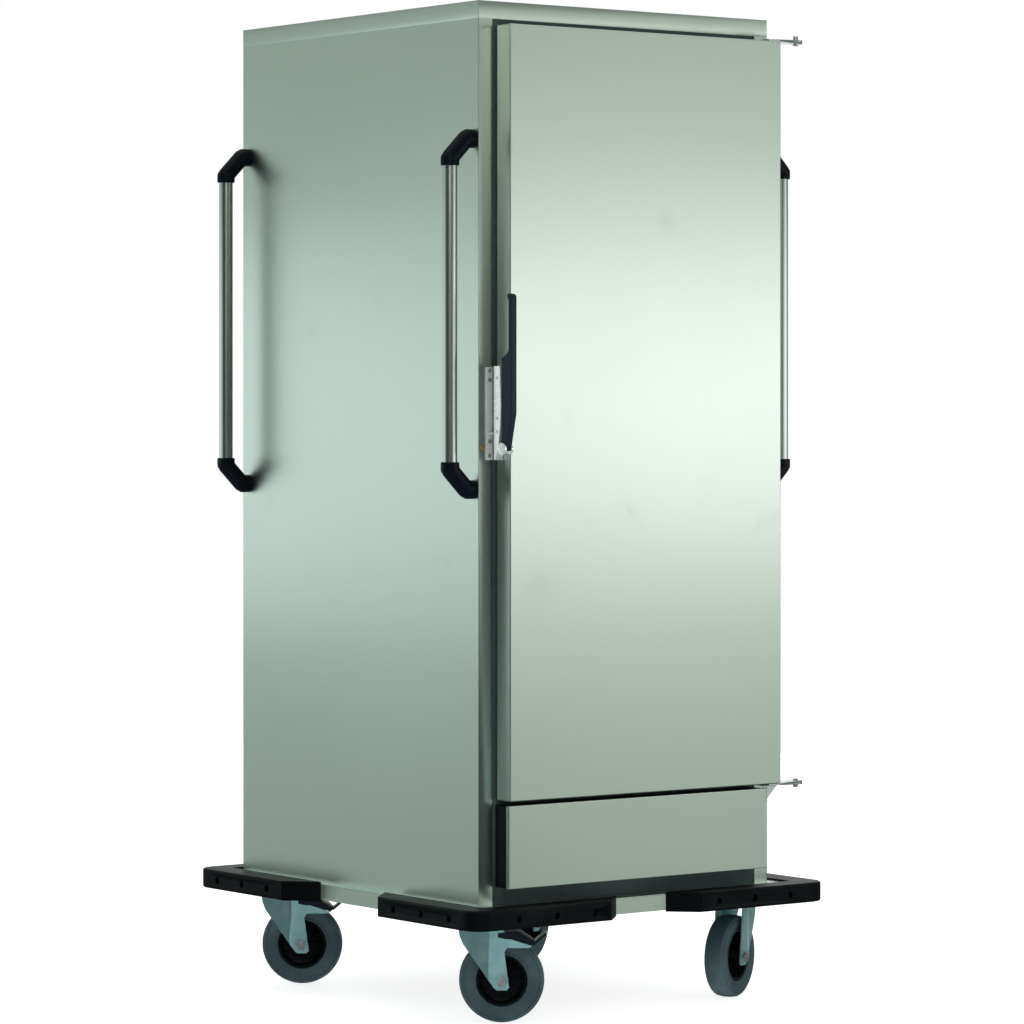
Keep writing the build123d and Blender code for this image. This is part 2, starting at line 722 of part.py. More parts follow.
# ---- latch -------------------------------------------------------------------------------
keeper_face = front_y - keeper_thick
with BuildPart() as latch_keeper:
    half = keeper_width / 2
    slab((keeper_x - half, keeper_x + half), (keeper_face, front_y), (keeper_low, keeper_high))
    deep = (keeper_face - prong_reach, keeper_face - joint_gap)
    for side in (-1, 1):
        near = housing_x + side * prong_between / 2
        far = near + side * prong_width
        slab((min(near, far), max(near, far)), deep, (prong_low, prong_low + prong_thick))
    for z in keeper_screws:
        bar((keeper_x, front_y, z), (0, -1, 0), keeper_screw_r, keeper_thick, Mode.SUBTRACT)
write(latch_keeper, "latch_keeper")

with BuildPart() as keeper_screw_set:
    for z in keeper_screws:
        bar((keeper_x, keeper_face, z), (0, 1, 0), keeper_screw_r, keeper_thick + 3 * skin)
        bar((keeper_x, keeper_face, z), (0, -1, 0), keeper_head_r, 0.8 * keeper_screw_r)
write(keeper_screw_set, "keeper_screws")

with BuildPart() as lock_barrel:
    bar((barrel_x, front_y - 1.2 * barrel_r, barrel_z), (0, 1, 0), barrel_r, 1.2 * barrel_r + 3 * skin)
write(lock_barrel, "lock_barrel")

slot_front = housing_back - slot_deep
edge_on = Plane(origin=(0, 0, 0), x_dir=(0, 1, 0), z_dir=(1, 0, 0))
with BuildPart() as latch_housing:
    shape = [
        (housing_back, keeper_low),
        (housing_back - 6, keeper_low),
        (pivot_y + lever_boss_r + 4, pivot_z + lever_boss_r),
        (housing_front + 2, prong_low + 14),
        (housing_front, housing_bulge),
        (housing_front + 3, housing_high),
        (housing_back, housing_high),
    ]
    outline(edge_on.offset(door_left - housing_width), shape, housing_width)
    half = slot_width / 2
    wide = (housing_x - half, housing_x + half)
    slab(wide, (slot_front, housing_back), (slot_low, slot_high), Mode.SUBTRACT)
write(latch_housing, "latch_housing")

with BuildPart() as latch_bolt:
    half = slot_width / 2 - soft_gap
    deep = (slot_front + soft_gap, housing_back - soft_gap)
    slab((housing_x - half, housing_x + half), deep, (bolt_shoulder, bolt_high))
    half = bolt_nose / 2
    slab((housing_x - half, housing_x + half), (deep[0] + 2, deep[1] - 1), (bolt_low, bolt_shoulder))
write(latch_bolt, "latch_bolt")

with BuildPart() as latch_lever:
    back = lever_y + lever_deep
    inner = lever_y + lever_grip
    shape = [
        (pivot_y + lever_boss_r - 2, pivot_z + 6),
        (back, pivot_z + 26),
        (back, lever_crook - 12),
        (back - 4, lever_crook - 3),
        (inner + 8, lever_crook + 4),
        (inner, lever_crook + 14),
        (inner, lever_top - 11),
        (inner + 4, lever_top - 6),
        (inner + 4, lever_top - 2),
        (inner - 2, lever_top),
        (lever_y + 3, lever_top - 5),
        (lever_y, lever_top - 12),
        (lever_y, pivot_z + 66),
        (pivot_y - lever_boss_r + 1, pivot_z + 8),
    ]
    outline(edge_on.offset(lever_x - lever_width), shape, lever_width)
    bar((lever_x - lever_width, pivot_y, pivot_z), (1, 0, 0), lever_boss_r, lever_width)
    bar((lever_x - lever_width, pivot_y, pivot_z), (1, 0, 0), pivot_r + run_gap, lever_width, Mode.SUBTRACT)
write(latch_lever, "latch_lever")

with BuildPart() as latch_pivot:
    outer_x = lever_x - lever_width - soft_gap
    bar((outer_x, pivot_y, pivot_z), (1, 0, 0), pivot_r, door_left - outer_x)
    bar((outer_x, pivot_y, pivot_z), (-1, 0, 0), pivot_head_r, pivot_head)
    bar((door_left, pivot_y, pivot_z), (-1, 0, 0), lever_boss_r, lever_gap - soft_gap)
write(latch_pivot, "latch_pivot")

# ---- push handles ------------------------------------------------------------------------
mouths = (handle_low + handle_reach, handle_high - handle_reach)
with BuildPart() as handle_tubes:
    low, high = mouths[0] - handle_insert, mouths[1] + handle_insert
    for x in (-handle_x, handle_x):
        for y in handle_rows:
            bar((x, y, low), (0, 0, 1), handle_tube_r, high - low)
            bar((x, y, low), (0, 0, 1), handle_tube_r - handle_tube_wall, high - low, Mode.SUBTRACT)
write(handle_tubes, "handle_tubes")

with BuildPart() as handle_elbows:
    for side in (-1, 1):
        for y in handle_rows:
            for foot_z, mouth in zip((handle_low, handle_high), mouths):
                way = 1 if mouth > foot_z else -1
                foot = (side * side_x, y, foot_z)
                with BuildLine() as route:
                    Polyline(
                        foot,
                        (side * (handle_x - handle_bend), y, foot_z),
                        (side * handle_x, y, foot_z + way * handle_bend),
                        (side * handle_x, y, mouth),
                    )
                with BuildSketch(Plane(origin=foot, z_dir=(side, 0, 0))):
                    Circle(handle_socket_r)
                sweep(path=route.line, transition=Transition.RIGHT)
                opening = (side * handle_x, y, mouth)
                bar(opening, (0, 0, -way), handle_tube_r, handle_insert, Mode.SUBTRACT)
                bar(foot, (side, 0, 0), handle_bolt_r, handle_bolt_in, Mode.SUBTRACT)
write(handle_elbows, "handle_elbows")

with BuildPart() as handle_bolts:
    for side in (-1, 1):
        for foot in foot_places(side):
            under = moved(foot, (-side, 0, 0), skin)
            bar(under, (side, 0, 0), handle_bolt_r, skin + handle_bolt_in)
            bar(under, (-side, 0, 0), handle_head_r, handle_head)
write(handle_bolts, "handle_bolts")
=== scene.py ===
import json
import math

import bmesh
import bpy
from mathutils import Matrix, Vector


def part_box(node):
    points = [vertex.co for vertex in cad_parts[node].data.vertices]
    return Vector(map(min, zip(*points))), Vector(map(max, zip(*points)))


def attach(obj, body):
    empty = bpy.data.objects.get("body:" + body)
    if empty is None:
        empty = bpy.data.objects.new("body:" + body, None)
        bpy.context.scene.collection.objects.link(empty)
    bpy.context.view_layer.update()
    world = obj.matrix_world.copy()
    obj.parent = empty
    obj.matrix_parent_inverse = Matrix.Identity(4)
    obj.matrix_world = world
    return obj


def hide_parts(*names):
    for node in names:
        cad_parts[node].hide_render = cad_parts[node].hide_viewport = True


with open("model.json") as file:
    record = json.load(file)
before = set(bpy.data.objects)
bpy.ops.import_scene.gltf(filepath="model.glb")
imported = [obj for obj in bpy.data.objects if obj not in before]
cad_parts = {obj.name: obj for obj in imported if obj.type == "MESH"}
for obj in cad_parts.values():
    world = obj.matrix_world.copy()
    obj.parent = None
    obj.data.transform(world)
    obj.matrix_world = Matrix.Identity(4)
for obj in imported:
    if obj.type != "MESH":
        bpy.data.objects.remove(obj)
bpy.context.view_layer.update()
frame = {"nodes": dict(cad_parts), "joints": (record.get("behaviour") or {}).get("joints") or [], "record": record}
nodes = frame["nodes"]
record = frame["record"]
joints = {joint["name"]: joint for joint in frame["joints"]}
slotOf = {part["node"]: part["material_slot"] for part in record["subparts"]}
castorNames = ("front_left", "rear_left", "front_right", "rear_right")
brakedNames = ("front_left", "rear_left")
# all lengths are in metres unless a note says otherwise
weldDistance = 1e-6
print("frame loaded:", len(nodes), "nodes")


class Value:
    # wraps a shader socket, so that sums on it add Math nodes
    def __init__(self, surface, socket):
        self.surface = surface
        self.socket = socket

    def maths(self, operation, first, second):
        return self.surface.add("ShaderNodeMath", {"operation": operation}, {0: first, 1: second})

    def __add__(self, other):
        return self.maths("ADD", self, other)

    def __radd__(self, other):
        return self.maths("ADD", other, self)

    def __sub__(self, other):
        return self.maths("SUBTRACT", self, other)

    def __mul__(self, other):
        return self.maths("MULTIPLY", self, other)

    def band(self, low, high):
        # 0 below low, 1 above high, smooth between
        limits = {"Value": self, "From Min": low, "From Max": high}
        return self.surface.add("ShaderNodeMapRange", {"interpolation_type": "SMOOTHSTEP"}, limits)


class Graph:
    # any node tree, filled one node at a time
    def __init__(self, tree):
        self.tree = tree
        tree.nodes.clear()

    def add(self, kind, settings, sockets, out=0):
        node = self.tree.nodes.new(kind)
        for key, value in settings.items():
            setattr(node, key, value)
        for key, value in sockets.items():
            if isinstance(value, Value):
                self.tree.links.new(value.socket, node.inputs[key])
            else:
                node.inputs[key].default_value = value
        return Value(self, node.outputs[out]) if node.outputs else node


class Surface(Graph):
    # the nodes of a material or of the world
    def __init__(self, owner):
        owner.use_nodes = True
        self.owner = owner
        super().__init__(owner.node_tree)

    def coordinates(self, scale=(1, 1, 1)):
        place = self.add("ShaderNodeTexCoord", {}, {}, "Object")
        return self.add("ShaderNodeMapping", {}, {"Vector": place, "Scale": scale})

    def noise(self, scale, detail=3.0, stretch=(1, 1, 1)):
        sockets = {"Vector": self.coordinates(stretch), "Scale": scale, "Detail": detail}
        return self.add("ShaderNodeTexNoise", {}, sockets)

    def blend(self, first, second, factor):
        return self.add("ShaderNodeMix", {"data_type": "RGBA"}, {0: factor, 6: first, 7: second}, 2)

    def bump(self, height, distance):
        return self.add("ShaderNodeBump", {}, {"Height": height, "Distance": distance, "Strength": 1.0})

    def finish(self, sockets):
        shader = self.add("ShaderNodeBsdfPrincipled", {}, sockets)
        self.add("ShaderNodeOutputMaterial", {}, {"Surface": shader})
        return self.owner


def colour(red, green, blue):
    return (red, green, blue, 1.0)


steel = {
    "light": colour(0.690, 0.775, 0.712),
    "dark": colour(0.595, 0.675, 0.615),
    "lineShare": 0.7,
    "smudgeShare": 0.3,
    "smudgeBand": (0.3, 0.7),
    "markBand": (0.62, 0.8),
    "roughness": 0.34,
    "lineRoughness": 0.10,
    "smudgeRoughness": 0.10,
    "markRoughness": 0.05,
    "lineHeight": 0.00003,
    "fine": 1500.0,
    "along": 4.0,
}


def brushedSteel(name, stretch):
    # fine lines run along the axis with the smallest stretch
    surface = Surface(bpy.data.materials.new(name))
    lines = surface.noise(1.0, 4.0, stretch)
    smudges = surface.noise(2.3, 5.0)
    marks = surface.noise(9.0, 6.0)
    cloud = lines * steel["lineShare"] + smudges.band(*steel["smudgeBand"]) * steel["smudgeShare"]
    tone = surface.blend(steel["dark"], steel["light"], cloud)
    roughness = (steel["roughness"] + (lines - 0.5) * steel["lineRoughness"]
                 + (smudges - 0.5) * steel["smudgeRoughness"]
                 + marks.band(*steel["markBand"]) * steel["markRoughness"])
    normal = surface.bump(lines, steel["lineHeight"])
    return surface.finish({"Base Color": tone, "Metallic": 1.0, "Roughness": roughness, "Normal": normal})


def platedMetal(name, light, dark, roughness, grain, metallic, height):
    # zinc or chrome plate: cloudy patches, tiny pits and slightly uneven gloss
    surface = Surface(bpy.data.materials.new(name))
    clouds = surface.noise(28.0, 4.0)
    pits = surface.noise(grain, 2.0)
    tone = surface.blend(dark, light, clouds.band(0.3, 0.7))
    gloss = roughness + (clouds - 0.5) * 0.14 + pits.band(0.6, 0.8) * 0.08
    normal = surface.bump(pits, height)
    return surface.finish({"Base Color": tone, "Metallic": metallic, "Roughness": gloss, "Normal": normal})


def mouldedPlastic(name, base, worn, roughness, grain, height, scuff=0.0, shine=0.22):
    # a leathery mould grain, with rubbed, paler patches
    surface = Surface(bpy.data.materials.new(name))
    pebbles = surface.noise(grain, 2.0)
    rubs = surface.noise(11.0, 6.0).band(0.55, 0.75)
    scratches = surface.noise(1.0, 3.0, (40, 40, 700)).band(0.66, 0.72)
    wear = rubs * 0.6 + scratches * scuff
    tone = surface.blend(base, worn, wear)
    gloss = roughness + (pebbles - 0.5) * 0.12 - rubs * 0.06
    normal = surface.bump(pebbles, height)
    sockets = {"Base Color": tone, "Roughness": gloss, "Normal": normal, "Specular IOR Level": shine}
    return surface.finish(sockets)


def tyreRubber(name):
    # grey rubber with pale dust in cloudy patches
    surface = Surface(bpy.data.materials.new(name))
    dust = surface.noise(16.0, 6.0).band(0.4, 0.75)
    grain = surface.noise(900.0, 2.0)
    tone = surface.blend(colour(0.040, 0.075, 0.088), colour(0.070, 0.120, 0.136), dust)
    roughness = 0.5 + dust * 0.18
    normal = surface.bump(grain, 0.00008)
    return surface.finish({"Base Color": tone, "Roughness": roughness, "Normal": normal})


def foamSkin(name):
    # yellowish foam with small cells
    surface = Surface(bpy.data.materials.new(name))
    cells = surface.add("ShaderNodeTexVoronoi", {}, {"Vector": surface.coordinates(), "Scale": 700.0})
    shade = surface.noise(14.0, 4.0)
    tone = surface.blend(colour(0.62, 0.52, 0.30), colour(0.80, 0.72, 0.50), shade.band(0.3, 0.7))
    normal = surface.bump(cells, 0.0003)
    return surface.finish({"Base Color": tone, "Roughness": 0.85 + (shade - 0.5) * 0.1, "Normal": normal})


fine, along = steel["fine"], steel["along"]
steelUpright = brushedSteel("brushedSteelUpright", (fine, fine, along))
steelLengthwise = brushedSteel("brushedSteelLengthwise", (fine, along, fine))
steelCrosswise = brushedSteel("brushedSteelCrosswise", (along, fine, fine))
# slot: name, light, dark, roughness, grain, metallic, height of the pits
platings = {
    "chrome": ("brightChrome", colour(0.93, 0.95, 0.95), colour(0.86, 0.89, 0.90),
               0.24, 300.0, 0.65, 0.000008),
    "zinc": ("zincPlate", colour(0.56, 0.88, 0.88), colour(0.42, 0.72, 0.74),
             0.31, 500.0, 0.80, 0.00004),
    "steel_bolts": ("boltSteel", colour(0.66, 0.69, 0.70), colour(0.50, 0.53, 0.54),
                    0.27, 600.0, 0.85, 0.00004),
    "brass": ("lockBrass", colour(0.75, 0.56, 0.26), colour(0.52, 0.36, 0.14),
              0.30, 500.0, 0.8, 0.00004),
}
# slot: name, base, worn, roughness, grain, height of the grain, and where needed scuff and shine
plastics = {
    "slate_frame": ("slateFrame", colour(0.062, 0.092, 0.098), colour(0.088, 0.124, 0.130),
                    0.33, 700.0, 0.00005),
    "black_plastic": ("handleBlack", colour(0.0030, 0.0055, 0.0105), colour(0.006, 0.010, 0.018),
                      0.40, 1300.0, 0.00006, 0.0, 0.11),
    "bumper_black": ("bumperBlack", colour(0.0016, 0.0028, 0.0040), colour(0.006, 0.008, 0.010),
                     0.46, 900.0, 0.00012, 0.4, 0.12),
    "pedal_black": ("pedalBlack", colour(0.004, 0.008, 0.018), colour(0.010, 0.017, 0.033),
                    0.28, 1100.0, 0.00005),
    "hub_black": ("hubBlack", colour(0.0010, 0.0022, 0.0030), colour(0.004, 0.006, 0.008),
                  0.42, 900.0, 0.00006),
    "gasket_rubber": ("gasketBlack", colour(0.008, 0.008, 0.009), colour(0.018, 0.018, 0.018),
                      0.55, 600.0, 0.00006),
    "drawer_black": ("drawerBlack", colour(0.006, 0.006, 0.007), colour(0.014, 0.014, 0.015),
                     0.45, 900.0, 0.00006),
    "black_screws": ("blackScrews", colour(0.002, 0.003, 0.004), colour(0.007, 0.008, 0.009),
                     0.40, 900.0, 0.00005),
}
finishes = {"stainless": steelUpright, "grey_rubber": tyreRubber("tyreGrey"), "foam": foamSkin("wallFoam")}
finishes.update({slot: platedMetal(*look) for slot, look in platings.items()})
finishes.update({slot: mouldedPlastic(*look) for slot, look in plastics.items()})
keeperPlate = platedMetal("keeperPlate", colour(0.93, 0.96, 0.95), colour(0.86, 0.89, 0.89),
                          0.30, 300.0, 0.25, 0.000008)
leverNavy = mouldedPlastic("leverNavy", colour(0.012, 0.020, 0.034), colour(0.018, 0.028, 0.046),
                           0.38, 1300.0, 0.00005, 0.0, 0.14)
grainOf = {
    "latch_keeper": keeperPlate,
    "top_cap": steelLengthwise,
    "base_deck": steelLengthwise,
    "base_rails": steelCrosswise,
    "drawer_front": steelCrosswise,
    "cavity_floor": steelLengthwise,
    "tray_runners": steelLengthwise,
    "drawer_slides": steelLengthwise,
    "drawer_tray": steelLengthwise,
}
print("finishes built:", len(bpy.data.materials))


def place(name, mesh, material, body, slotName, replaced=()):
    # one finished piece at the origin, riding on its body
    piece = bpy.data.objects.new(name, mesh)
    bpy.context.scene.collection.objects.link(piece)
    mesh.materials.clear()
    mesh.materials.append(material)
    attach(piece, body)
    if replaced:
        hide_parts(*replaced)
    return piece


def meshFrom(bm, name, sharp):
    # welds, faces outwards and shades smooth up to the sharp angle, in degrees
    bmesh.ops.remove_doubles(bm, verts=bm.verts, dist=weldDistance)
    bmesh.ops.recalc_face_normals(bm, faces=bm.faces)
    mesh = bpy.data.meshes.new(name)
    bm.to_mesh(mesh)
    bm.free()
    mesh.shade_smooth()
    mesh.set_sharp_from_angle(angle=math.radians(sharp))
    return mesh


softAngles = {"flat": 0.6, "hard": 28}
bevelRoom = 2.2


def roomy(face, width):
    # wide enough to lose a bevel's width at each side
    return face.calc_area() / max(edge.calc_length() for edge in face.edges) > bevelRoom * width


def soften(node, width, reshape=None):
    # a copy of a node with its hard edges rounded over, in the node's place
    bm = bmesh.new()
    bm.from_mesh(nodes[node].data)
    bmesh.ops.remove_doubles(bm, verts=bm.verts, dist=weldDistance)
    bmesh.ops.dissolve_limit(bm, angle_limit=math.radians(softAngles["flat"]), verts=bm.verts, edges=bm.edges)
    if reshape:
        reshape(bm, node)
    weight = bm.edges.layers.float.new("bevel_weight_edge")
    for edge in bm.edges:
        hard = len(edge.link_faces) == 2 and edge.calc_face_angle() > math.radians(softAngles["hard"])
        if hard and all(roomy(face, width) for face in edge.link_faces):
            edge[weight] = 1.0
    mesh = bpy.data.meshes.new(node + "_soft")
    bm.to_mesh(mesh)
    bm.free()
    mesh.shade_smooth()
    mesh.set_sharp_from_angle(angle=math.radians(softAngles["hard"]))
    material = grainOf.get(node) or finishes[slotOf[node]]
    piece = place(node + "_soft", mesh, material, bodyOf(node), slotOf[node], (node,))
    bevel = piece.modifiers.new("roundedEdges", "BEVEL")
    bevel.limit_method = "WEIGHT"
    bevel.width = width
    bevel.segments = 2
    bevel.harden_normals = True


def bodyOf(node):
    # the moving body that a CAD node belongs to
    for body, members in record["behaviour"]["bodies"].items():
        if node in members:
            return body


def lathe(bm, profile, centre, axis, steps=64):
    # turns a closed profile of (along the axis, radius) pairs about an axis
    axis = Vector(axis).normalized()
    side = axis.orthogonal().normalized()
    up = axis.cross(side)
    rings = []
    for step in range(steps):
        angle = 2 * math.pi * step / steps
        outward = side * math.cos(angle) + up * math.sin(angle)
        rings.append([bm.verts.new(Vector(centre) + axis * along + outward * radius)
                      for along, radius in profile])
    for step in range(steps):
        here, there = rings[step], rings[(step + 1) % steps]
        for k in range(len(profile)):
            follow = (k + 1) % len(profile)
            corners = (here[k], here[follow], there[follow], there[k])
            if profile[k][1] or profile[follow][1]:
                bm.faces.new(corners)


def roundedOutline(corners, steps=6):
    # a closed outline from (across, up, corner radius) triples
    points = []
    for k, (across, up, radius) in enumerate(corners):
        here = Vector((across, up))
        back = (Vector(corners[k - 1][:2]) - here).normalized()
        ahead = (Vector(corners[(k + 1) % len(corners)][:2]) - here).normalized()
        half = back.angle(ahead) / 2
        if not radius:
            points.append(here)
            continue
        centre = here + (back + ahead).normalized() * radius / math.sin(half)
        start = here + back * radius / math.tan(half) - centre
        end = here + ahead * radius / math.tan(half) - centre
        turn = start.angle(end)
        for step in range(steps + 1):
            part = step / steps
            mixed = start * math.sin((1 - part) * turn) + end * math.sin(part * turn)
            points.append(centre + mixed / math.sin(turn))
    return points


def prism(bm, outline, low, high, at):
    # extrudes an outline between two levels; at(across, up, level) gives the point
    loops = [[bm.verts.new(at(*point, level)) for point in outline] for level in (low, high)]
    count = len(outline)
    for k in range(count):
        bm.faces.new((loops[0][k], loops[0][(k + 1) % count], loops[1][(k + 1) % count], loops[1][k]))
    bm.faces.new(loops[0])
    bm.faces.new(loops[1])


softNodes = {
    "side_panel_left": 0.0016,
    "side_panel_right": 0.0016,
    "top_cap": 0.0020,
    "door_frame": 0.0008,
    "door_skin": 0.0022,
    "door_gasket": 0.0030,
    "drawer_front": 0.0016,
    "base_deck": 0.0008,
    "hinge_brackets": 0.0006,
    "hinge_arms": 0.0006,
    "latch_keeper": 0.0006,
    "latch_housing": 0.0014,
}
softNodes.update({f"bumper_{name}": 0.0025 for name in castorNames})
softNodes.update({f"brake_pedal_{name}": 0.0012 for name in brakedNames})
for node, width in softNodes.items():
    soften(node, width)

fork = {
    "edge": 0.0009,
    "crease": 0.022,
    "cheekFrom": 0.0262,
    "lean": 0.19,
    "ridgeHalf": 0.0042,
    "ridgeHigh": 0.0017,
    "wingRoot": (0.055, 0.065),
    "wingUnderCrown": (0.008, 0.016),
    "wingDrop": 0.0075,
    "crownAbovePivot": 0.010,
    "onCrease": 1e-5,
}


def castorFrame(name):
    # swivel point on the floor, direction of the trail, direction of the axle
    swivel = Vector(joints[f"swivel_{name}"]["pos_m"])
    hub = Vector(joints[f"roll_{name}"]["pos_m"])
    swivel.z = 0
    along = Vector((hub.x, hub.y, 0)) - swivel
    return swivel, along.normalized(), Vector(joints[f"roll_{name}"]["axis"])


def pressFork(bm, node):
    # the cheeks lean inwards ahead of a pressed crease, and the brake's arms slope down below the pedal
    name = node.replace("castor_fork_", "")
    swivel, along, across = castorFrame(name)
    for shift in (-1, 0, 1):
        everything = list(bm.verts) + list(bm.edges) + list(bm.faces)
        line = swivel + along * (fork["crease"] + shift * fork["ridgeHalf"])
        bmesh.ops.bisect_plane(bm, geom=everything, plane_co=line, plane_no=along)
    for vert in bm.verts:
        forward = (vert.co - swivel).dot(along)
        aside = (vert.co - swivel).dot(across)
        if abs(aside) > fork["cheekFrom"] and forward < fork["crease"]:
            vert.co -= across * math.copysign(fork["lean"] * (fork["crease"] - forward), aside)
        if abs(aside) > fork["cheekFrom"] and abs(forward - fork["crease"]) < fork["onCrease"]:
            vert.co += across * math.copysign(fork["ridgeHigh"], aside)
        if name in brakedNames and fork["wingRoot"][0] < forward < fork["wingRoot"][1]:
            crown = joints[f"brake_{name}"]["pos_m"][2] + fork["crownAbovePivot"]
            near, far = fork["wingUnderCrown"]
            if crown - far < vert.co.z < crown - near:
                vert.co.z -= fork["wingDrop"]


for name in castorNames:
    softNodes[f"castor_fork_{name}"] = fork["edge"]
    soften(f"castor_fork_{name}", fork["edge"], pressFork)
for node, item in nodes.items():
    if node not in softNodes:
        for k in range(len(item.data.materials)):
            item.material_slots[k].link = "OBJECT"
            item.material_slots[k].material = grainOf.get(node) or finishes[slotOf[node]]
print("folded and moulded edges:", len(softNodes))


elbow = {
    "socketRadius": 0.0175,
    "runRadius": 0.0165,
    "bend": 0.037,
    "bendRound": 0.006,
    "lip": 0.0018,
    "lipRise": (0.4, 0.7),
    "tubeRadius": 0.0135,
    "mouthBelowEnd": 0.016,
    "steps": 40,
}


def tubeAlong(bm, route, across, steps):
    # rings square to a route of (point, radius) pairs that lies in the plane square to `across`
    rings = []
    for k, (point, radius) in enumerate(route):
        back = route[max(k - 1, 0)][0]
        ahead = route[min(k + 1, len(route) - 1)][0]
        up = across.cross((ahead - back).normalized())
        rings.append([
            bm.verts.new(point + (across * math.cos(turn) + up * math.sin(turn)) * radius)
            for turn in (2 * math.pi * step / steps for step in range(steps))
        ])
    for here, there in zip(rings, rings[1:]):
        for step in range(steps):
            follow = (step + 1) % steps
            bm.faces.new((here[step], here[follow], there[follow], there[step]))
    bm.faces.new(rings[0])
    bm.faces.new(rings[-1])


def elbowRoute(wall, axis, foot, mouth):
    # out of the wall, 45 degrees up or down, then along the tube
    out = 1 if axis > wall else -1
    way = 1 if mouth > foot else -1
    bend = elbow["bend"]
    corners = [
        (wall, foot, 0),
        (axis - out * bend, foot, elbow["bendRound"]),
        (axis, foot + way * bend, elbow["bendRound"]),
        (axis, mouth, 0),
    ]
    line = roundedOutline(corners, 5)
    route = []
    for k, point in enumerate(line):
        inRun = 3 <= k <= len(line) - 5
        route.append((point, elbow["runRadius"] if inRun else elbow["socketRadius"]))
    lip = elbow["lip"]
    start, end = route[0], route[-1]
    footRise, mouthRise = elbow["lipRise"]
    first = [(start[0], start[1] - lip * footRise), (start[0] + Vector((out * lip, 0)), start[1])]
    last = [(end[0] - Vector((0, way * lip)), end[1]), (end[0], end[1] - lip * mouthRise)]
    return first + route[1:-1] + last


def makeElbows():
    # eight elbows, at both ends of the four push handles
    low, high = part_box("handle_elbows")
    tubeLow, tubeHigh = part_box("handle_tubes")
    panelLow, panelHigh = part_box("side_panel_left")[0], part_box("side_panel_right")[1]
    tubeRadius = elbow["tubeRadius"]
    rows = (low.y + elbow["socketRadius"], high.y - elbow["socketRadius"])
    feet = (low.z + elbow["socketRadius"], high.z - elbow["socketRadius"])
    mouths = (tubeLow.z + elbow["mouthBelowEnd"], tubeHigh.z - elbow["mouthBelowEnd"])
    bm = bmesh.new()
    for wall, axis in ((panelLow.x, tubeLow.x + tubeRadius), (panelHigh.x, tubeHigh.x - tubeRadius)):
        for row in rows:
            for foot, mouth in zip(feet, mouths):
                route = [(Vector((p.x, row, p.y)), r) for p, r in elbowRoute(wall, axis, foot, mouth)]
                tubeAlong(bm, route, Vector((0, 1, 0)), elbow["steps"])
    mesh = meshFrom(bm, "handleElbows", 24)
    place("handleElbows", mesh, finishes["black_plastic"], "cabinet", "black_plastic", ("handle_elbows",))


makeElbows()
print("handle elbows made")

lever = {
    "gripDepth": 0.010,
    "backCut": 0.0035,
    "edge": 0.0024,
    "sharp": 60,
}


def makeLever():
    # the moulded lever: a boss at the pivot, a deep root and a thin grip with a crooked end
    low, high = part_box("latch_lever")
    pivot = Vector(joints["lever_pull"]["pos_m"])
    front, back, top = low.y, high.y - lever["backCut"], high.z
    inner = front + lever["gripDepth"]
    corners = [
        (pivot.y - 0.0085, pivot.z - 0.004, 0.004),
        (pivot.y + 0.0085, pivot.z - 0.004, 0.004),
        (back, pivot.z + 0.030, 0.010),
        (back, pivot.z + 0.168, 0.002),
        (inner, pivot.z + 0.180, 0.010),
        (inner, top - 0.014, 0.010),
        (inner + 0.0045, top - 0.006, 0.002),
        (inner + 0.0030, top, 0.002),
        (front, top - 0.002, 0.008),
        (front, pivot.z + 0.066, 0.012),
    ]
    bm = bmesh.new()
    prism(bm, roundedOutline(corners), low.x, high.x, lambda y, z, x: Vector((x, y, z)))
    mesh = meshFrom(bm, "leverGrip", 30)
    piece = place("leverGrip", mesh, leverNavy, "lever", "black_plastic", ("latch_lever",))
    bevel = piece.modifiers.new("moulded", "BEVEL")
    bevel.limit_method = "ANGLE"
    bevel.angle_limit = math.radians(lever["sharp"])
    bevel.width = lever["edge"]
    bevel.segments = 3
    bevel.harden_normals = True


makeLever()
print("latch lever made")

wheel = {
    "seat": 0.048,
    "tyreHalf": 0.020,
    "crown": 0.0012,
    "shoulder": 0.0065,
    "ringRadius": 0.0715,
    "ringGroove": 0.0010,
    "steps": 96,
}


def tyreProfile(radius):
    # half a tyre's section with a moulded ring on its side, then its mirror image
    half, seat = wheel["tyreHalf"], wheel["seat"]
    shoulder, groove, ring = wheel["shoulder"], wheel["ringGroove"], wheel["ringRadius"]
    side = [
        (half * 0.86, seat),
        (half * 0.97, seat + 0.0020),
        (half * 0.97, seat + 0.0042),
        (half * 0.90, seat + 0.0052),
        (half * 0.93, seat + 0.0100),
        (half, seat + 0.0180),
        (half, ring - 0.0012),
        (half - groove, ring - 0.0004),
        (half - groove, ring + 0.0006),
        (half - 0.0003, ring + 0.0014),
    ]
    for step in range(7):
        turn = math.radians(90 * step / 6)
        side.append((half - shoulder + shoulder * math.cos(turn) - 0.0004,
                     radius - wheel["crown"] - shoulder + shoulder * math.sin(turn)))
    side.append((half * 0.3, radius - 0.0002))
    return side + [(-along, r) for along, r in reversed(side)]


def hubProfile():
    # half a hub's section, from its boss over the web to the rim, then its mirror image
    half, seat = wheel["tyreHalf"], wheel["seat"]
    side = [
        (0.0262, 0.0062),
        (0.0262, 0.0125),
        (0.0250, 0.0138),
        (0.0110, 0.0150),
        (0.0052, 0.0180),
        (0.0045, 0.0330),
        (0.0070, 0.0395),
        (0.0150, 0.0415),
        (half - 0.0030, 0.0425),
        (half - 0.0020, 0.0435),
        (half - 0.0020, 0.0465),
        (half - 0.0032, 0.0478),
        (half - 0.0045, seat),
    ]
    return side + [(-along, r) for along, r in reversed(side)]


